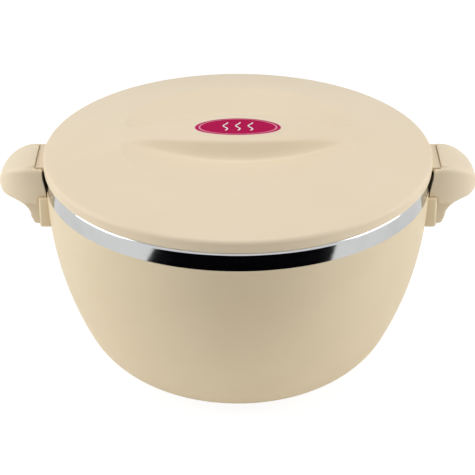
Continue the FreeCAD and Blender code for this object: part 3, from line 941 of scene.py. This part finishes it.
def curl(tree, size):
    """A closed ribbon along a wave, lying flat at the origin."""
    start = add(tree, "ShaderNodeMath", {0: size["Height"], 1: -0.5}, operation="MULTIPLY")
    low = add(tree, "ShaderNodeCombineXYZ", {"Y": start})
    half = add(tree, "ShaderNodeMath", {0: size["Height"], 1: 0.5}, operation="MULTIPLY")
    high = add(tree, "ShaderNodeCombineXYZ", {"Y": half})
    line = add(tree, "GeometryNodeCurvePrimitiveLine", {"Start": low, "End": high})
    fine = add(tree, "GeometryNodeResampleCurve", {"Curve": line, "Count": curl_points})
    share = add(tree, "GeometryNodeSplineParameter").outputs["Factor"]
    phase = add(tree, "ShaderNodeMath", {0: share, 1: curl_turns}, operation="MULTIPLY")
    wave = add(tree, "ShaderNodeMath", {0: phase}, operation="SINE")
    swing = add(tree, "ShaderNodeMath", {0: wave, 1: size["Swing"]}, operation="MULTIPLY")
    aside = add(tree, "ShaderNodeCombineXYZ", {"X": swing})
    waved = add(tree, "GeometryNodeSetPosition", {0: fine, "Offset": aside})
    taper = add(tree, "ShaderNodeMath", {0: share, 1: math.pi}, operation="MULTIPLY")
    full = add(tree, "ShaderNodeMath", {0: taper}, operation="SINE")
    swell = {0: full, 1: 1 - curl_tip, 2: curl_tip}
    thick = add(tree, "ShaderNodeMath", swell, operation="MULTIPLY_ADD")
    swelled = add(tree, "GeometryNodeSetCurveRadius", {0: waved, 2: thick})
    flat = {"Width": size["Width"], "Height": size["Thickness"]}
    profile = add(tree, "GeometryNodeCurvePrimitiveQuadrilateral", flat)
    return add(tree, "GeometryNodeCurveToMesh", {0: swelled, 1: profile, "Fill Caps": True})


print("a curl is bent at", curl_points, "points")

# %% [markdown]
# The tree repeats the curl three times in a row and lays the row on the dome by the same rule
# as the scoops use.

# %% Print the steam
curl_thickness = 0.03
curl_sizes = {
    "Height": 12.0 * MM,
    "Swing": 1.3 * MM,
    "Width": 1.0 * MM,
    "Thickness": curl_thickness * MM,
    "Gap": 8.0 * MM,
    "Crown": (badge_top - curl_thickness) * MM,
    "Dome radius": dome_radius * MM,
}


def curls_tree():
    """Three ribbons of steam laid on the dome."""
    kinds = {label: "Float" for label in curl_sizes}
    tree, source = geometry_tree("steam_curls", {**kinds, "Material": "Material"})
    size = source.outputs
    strip = curl(tree, size)
    left = add(tree, "ShaderNodeMath", {0: size["Gap"], 1: -1.0}, operation="MULTIPLY")
    first = add(tree, "ShaderNodeCombineXYZ", {"X": left})
    step = add(tree, "ShaderNodeCombineXYZ", {"X": size["Gap"]})
    row = add(tree, "GeometryNodeMeshLine", {"Count": 3, "Start Location": first, "Offset": step})
    copies = add(tree, "GeometryNodeInstanceOnPoints", {0: row, "Instance": strip})
    real = add(tree, "GeometryNodeRealizeInstances", {0: copies})
    spot = add(tree, "GeometryNodeInputPosition")
    length = add(tree, "ShaderNodeVectorMath", {0: spot}, operation="LENGTH").outputs["Value"]
    square = add(tree, "ShaderNodeMath", {0: length, 1: length}, operation="MULTIPLY")
    twice = add(tree, "ShaderNodeMath", {0: size["Dome radius"], 1: 2.0}, operation="MULTIPLY")
    drop = add(tree, "ShaderNodeMath", {0: square, 1: twice}, operation="DIVIDE")
    level = add(tree, "ShaderNodeMath", {0: size["Crown"], 1: drop}, operation="SUBTRACT")
    up = add(tree, "ShaderNodeCombineXYZ", {"Z": level})
    laid = add(tree, "GeometryNodeSetPosition", {0: real, "Offset": up})
    return close_tree(tree, laid, source)


blank = new_piece("steam_print", bpy.data.meshes.new("steam_print"))
steam_print = grow(blank, curls_tree(), {**curl_sizes, "Material": pale_ink})

# %% [markdown]
# ## The lid's liner
#
# A shallow steel pan closes the lid from below. It is pressed from thin sheet with a satin
# finish, and its flange is bonded under the lid's ledge.

# %% Turn the liner
liner_steel = 0.5
liner_corner = 2.5
liner_clearance = 1.3
liner_radius = band_radius - wall_stack - liner_clearance


def liner_piece():
    pan = bottom_of("lid_liner")
    flange = radius_of("lid_liner")
    flange_top = top_of("lid_liner")
    shelf = flange_top - liner_steel
    low = liner_radius - liner_corner
    corner = (low, pan + liner_corner)
    wall = liner_radius - liner_steel
    below = [run((0, pan), (low, pan)), bend(corner, liner_corner, -90, 0, 8)]
    below += [run((liner_radius, corner[1]), (liner_radius, shelf))]
    below += [run((liner_radius, shelf), (flange, shelf))]
    above = [run((flange, shelf), (flange, flange_top))]
    above += [run((flange, flange_top), (wall, flange_top))]
    above += [run((wall, flange_top), (wall, corner[1]))]
    above += [bend(corner, liner_corner - liner_steel, 0, -90, 8)]
    above += [run((low, pan + liner_steel), (0, pan + liner_steel))]
    return turned("liner_pan", below + above, satin_steel)


liner = liner_piece()

# %% [markdown]
# ## Bodies and finishes
#
# Each piece rides on the base or on the lid and stands for the CAD node whose place it fills.
# Foams, gasket and plugs keep their CAD shape and get a material.

# %% Say what each piece stands for
def settle(piece, body, slot, *stands_for):
    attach(piece, body)
    if stands_for:
        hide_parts(*stands_for)
    print(piece.name, "rides on", body)


settle(casing, "base", "casing_plastic", "outer_shell")
settle(rails, "base", "casing_plastic", "outer_shell")
settle(bowl, "base", "bowl_steel", "inner_bowl")
settle(handles["left"], "base", "handle_plastic", "left_handle")
settle(handles["right"], "base", "handle_plastic", "right_handle")
settle(lid_dome, "lid", "lid_plastic", "lid_cover")
settle(ears["left"], "lid", "lid_plastic", "lid_cover")
settle(ears["right"], "lid", "lid_plastic", "lid_cover")
settle(badge, "lid", "badge", "lid_badge")
settle(steam_print, "lid", "badge")
settle(liner, "lid", "liner_steel", "lid_liner")

# %% Finish the CAD nodes that stay
kept = {"base_insulation": foam, "lid_insulation": foam, "lid_gasket": silicone,
        "base_fill_plug": plug_plastic, "lid_fill_plug": plug_plastic}
for node, finish in kept.items():
    nodes[node].data.materials.clear()
    nodes[node].data.materials.append(finish)
print(len(kept), "CAD nodes keep their shape")

# %% [markdown]
# ## Floor and card
#
# The floor is pale and matt. The camera sees it as plain white with the casserole's shadow,
# and to everything else it is a lit surface with a weak glow of its own, which stands for the
# light that a bright studio floor throws back. A dark card lies in front of the casserole, out
# of sight. Only mirrors see it: it gives the polished band its dark middle, as a dark card does
# in a studio.

# %% Lay the floor
FLOOR_SIZE = 12
FLOOR_GLOW = 0.2
WHITE = (1, 1, 1, 1)


def plane(name, centre, width, depth, finish):
    """A flat sheet of the stage, which isn't part of the casserole."""
    half_w = width / 2
    half_d = depth / 2
    mesh = bpy.data.meshes.new(name)
    corners = [(-half_w, -half_d, 0), (half_w, -half_d, 0), (half_w, half_d, 0), (-half_w, half_d, 0)]
    mesh.from_pydata(corners, [], [(0, 1, 2, 3)])
    mesh.materials.append(finish)
    piece = new_piece(name, mesh)
    piece.location = centre
    piece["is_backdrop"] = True
    print("stage:", name)
    return piece


floor_paint, tree, shader = material("matt_white_floor", Roughness=0.9)
shader.inputs["Base Color"].default_value = linear("#E6E4E0")
shader.inputs["Emission Color"].default_value = WHITE
shader.inputs["Emission Strength"].default_value = FLOOR_GLOW
rays = add(tree, "ShaderNodeLightPath").outputs
lit = add(tree, "ShaderNodeBsdfDiffuse", {"Color": linear("#7A7A7A")})
glow = add(tree, "ShaderNodeEmission", {"Color": WHITE, "Strength": 0.9})
seen = add(tree, "ShaderNodeAddShader", {0: lit, 1: glow})
straight = {0: rays["Is Camera Ray"], 1: rays["Is Transmission Ray"]}
either = add(tree, "ShaderNodeMath", straight, operation="MAXIMUM")
choice = add(tree, "ShaderNodeMixShader", {0: either, 1: shader.outputs[0], 2: seen.outputs[0]})
tree.links.new(choice.outputs[0], tree.nodes["Material Output"].inputs["Surface"])
plane("floor", (0, 0, 0), FLOOR_SIZE, FLOOR_SIZE, floor_paint)

# %% Lay the card
card_centre = (0.02, -0.62, 0.002)
card_width = 0.51
card_depth = 0.78

card_paint, tree, shader = material("black_card", Roughness=1.0, Specular_IOR_Level=0.0)
shader.inputs["Base Color"].default_value = linear("#040306")
card = plane("dark_card", card_centre, card_width, card_depth, card_paint)
card.visible_camera = False
card.visible_diffuse = False
card.visible_shadow = False

# %% [markdown]
# ## Room and lamps
#
# The room is pale. The camera and mirrors see it as white, and it lights the casserole only
# weakly. Two wide soft lamps stand at the left and the right and one hangs above, so the middle
# of the front is the darkest part of the casing.

# %% Light the room
ROOM_STRENGTH = 0.14

world = bpy.data.worlds.new("pale_room")
bpy.context.scene.world = world
world.use_nodes = True
tree = world.node_tree
room = tree.nodes["Background"]
room.inputs["Color"].default_value = linear("#F4F5F7")
room.inputs["Strength"].default_value = ROOM_STRENGTH
white = add(tree, "ShaderNodeBackground", {"Color": WHITE, "Strength": 1.0})
rays = add(tree, "ShaderNodeLightPath").outputs
seen_rays = {0: rays["Is Camera Ray"], 1: rays["Is Glossy Ray"]}
glossy = add(tree, "ShaderNodeMath", seen_rays, operation="MAXIMUM")
clear_rays = {0: glossy, 1: rays["Is Transmission Ray"]}
clear = add(tree, "ShaderNodeMath", clear_rays, operation="MAXIMUM")
mix = add(tree, "ShaderNodeMixShader", {0: clear, 1: room.outputs[0], 2: white.outputs[0]})
tree.links.new(mix.outputs[0], tree.nodes["World Output"].inputs["Surface"])
print("room strength", ROOM_STRENGTH)

# %% Hang the lamps
def soft_lamp(name, place, aim, width, height, power):
    """A rectangular lamp in metres and watts, turned towards a point."""
    lamp = bpy.data.lights.new(name, "AREA")
    lamp.shape = "RECTANGLE"
    lamp.size = width
    lamp.size_y = height
    lamp.energy = power
    holder = new_piece(name, lamp)
    holder.location = place
    holder.rotation_euler = (Vector(aim) - Vector(place)).to_track_quat("-Z", "Y").to_euler()
    print(name, power, "W")


side_aim = (0, 0, 0.08)
top_aim = (0, 0, 0.1)
soft_lamp("lamp_left", (-1.3, -0.15, 0.75), side_aim, 0.9, 1.1, 13)
soft_lamp("lamp_right", (1.3, -0.15, 0.75), side_aim, 0.9, 1.1, 12)
soft_lamp("lamp_top", (0, -0.1, 1.45), top_aim, 1.2, 1.0, 7.8)

# %% [markdown]
# The camera stands over a metre away and looks down by about 28 degrees, so that both the lid
# and the side of the casing show. A small shift centres the casserole in a square frame.

# %% Place the camera
camera_distance = 1136.4
camera_elevation = 27.55
camera_aim = 98.2
focal_length = 131.42
sensor_width = 36.0
axis_row = 213.2
axis_column = 237.9
FRAME_SIZE = 475
nearest = 0.05
farthest = 30

camera = bpy.data.cameras.new("camera")
camera.sensor_width = sensor_width
camera.lens = focal_length
camera.shift_x = -(axis_column - FRAME_SIZE / 2) / FRAME_SIZE
camera.shift_y = -(FRAME_SIZE / 2 - axis_row) / FRAME_SIZE
camera.clip_start = nearest
camera.clip_end = farthest
eye = new_piece("camera", camera)
tilt = math.radians(camera_elevation)
back = camera_distance * math.cos(tilt)
up = camera_distance * math.sin(tilt)
eye.location = Vector((0, -back, camera_aim + up)) * MM
eye.rotation_euler = (math.pi / 2 - tilt, 0, 0)
bpy.context.scene.camera = eye
bpy.context.scene.view_settings.view_transform = "Standard"
print("camera at", [round(v, 3) for v in eye.location], "m")

# %% [markdown]
# ## Measure the size
#
# The finished pieces are meant to stay inside the box of the CAD model, so the box of the
# finished pieces is printed at the end.

# %% Measure and finish
low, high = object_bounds()
print("visual box in mm:", [round(v / MM, 1) for v in (*low, *high)])
